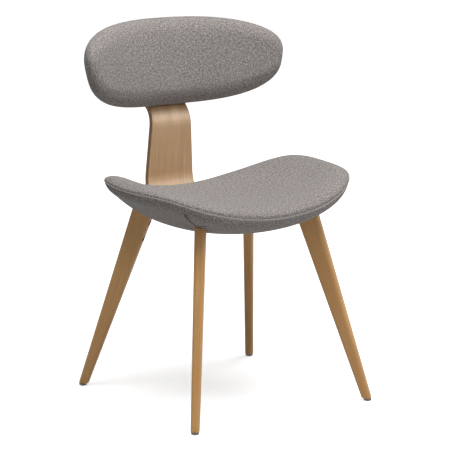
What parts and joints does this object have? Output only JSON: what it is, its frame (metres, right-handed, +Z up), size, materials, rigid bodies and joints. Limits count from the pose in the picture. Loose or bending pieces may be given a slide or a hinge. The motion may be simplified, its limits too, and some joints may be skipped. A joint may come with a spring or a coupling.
{
  "type": "upholstered chair",
  "caption": "Dining chair with a padded saddle seat, a wrapped oval backrest on a bent plywood strip, and splayed tapered oak legs with glides.",
  "frame": {"origin": "on the floor, under the middle of the chair's outline as seen from above", "axes": "+Z up; the sitter faces -Y; +X is to the right of someone who looks at the chair from its front, and left and right in the names are theirs"},
  "size_m": [0.545, 0.5139, 0.8019],
  "materials": {
    "grey_melange": "woven, brushed wool blend",
    "foam": "open-cell foam",
    "plywood": "sanded",
    "oak": "satin lacquer",
    "zinc_steel": "zinc plated",
    "black_steel": "black oxide",
    "grey_nylon": "moulded"
  },
  "bodies": {
    "root": {"back_board": "plywood", "back_foam": "foam", "back_front_cover": "grey_melange", "back_neck_bolt_left_lower": "black_steel", "back_neck_bolt_left_upper": "black_steel", "back_neck_bolt_right_lower": "black_steel", "back_neck_bolt_right_upper": "black_steel", "back_neck_tee_nut_left_lower": "zinc_steel", "back_neck_tee_nut_left_upper": "zinc_steel", "back_neck_tee_nut_right_lower": "zinc_steel", "back_neck_tee_nut_right_upper": "zinc_steel", "back_rear_cover": "grey_melange", "front_left_bracket_screw_inner": "zinc_steel", "front_left_bracket_screw_outer": "zinc_steel", "front_left_glide": "grey_nylon", "front_left_leg": "oak", "front_left_leg_bolt_lower": "black_steel", "front_left_leg_bolt_upper": "black_steel", "front_left_leg_bracket": "zinc_steel", "front_right_bracket_screw_inner": "zinc_steel", "front_right_bracket_screw_outer": "zinc_steel", "front_right_glide": "grey_nylon", "front_right_leg": "oak", "front_right_leg_bolt_lower": "black_steel", "front_right_leg_bolt_upper": "black_steel", "front_right_leg_bracket": "zinc_steel", "neck": "oak", "rear_left_bracket_screw_inner": "zinc_steel", "rear_left_bracket_screw_outer": "zinc_steel", "rear_left_glide": "grey_nylon", "rear_left_leg": "oak", "rear_left_leg_bolt_lower": "black_steel", "rear_left_leg_bolt_upper": "black_steel", "rear_left_leg_bracket": "zinc_steel", "rear_right_bracket_screw_inner": "zinc_steel", "rear_right_bracket_screw_outer": "zinc_steel", "rear_right_glide": "grey_nylon", "rear_right_leg": "oak", "rear_right_leg_bolt_lower": "black_steel", "rear_right_leg_bolt_upper": "black_steel", "rear_right_leg_bracket": "zinc_steel", "seat_foam": "foam", "seat_neck_bolt_left_front": "black_steel", "seat_neck_bolt_left_rear": "black_steel", "seat_neck_bolt_right_front": "black_steel", "seat_neck_bolt_right_rear": "black_steel", "seat_neck_tee_nut_left_front": "zinc_steel", "seat_neck_tee_nut_left_rear": "zinc_steel", "seat_neck_tee_nut_right_front": "zinc_steel", "seat_neck_tee_nut_right_rear": "zinc_steel", "seat_shell": "plywood", "seat_top_cover": "grey_melange", "seat_under_cover": "grey_melange"}
  },
  "joints": []
}
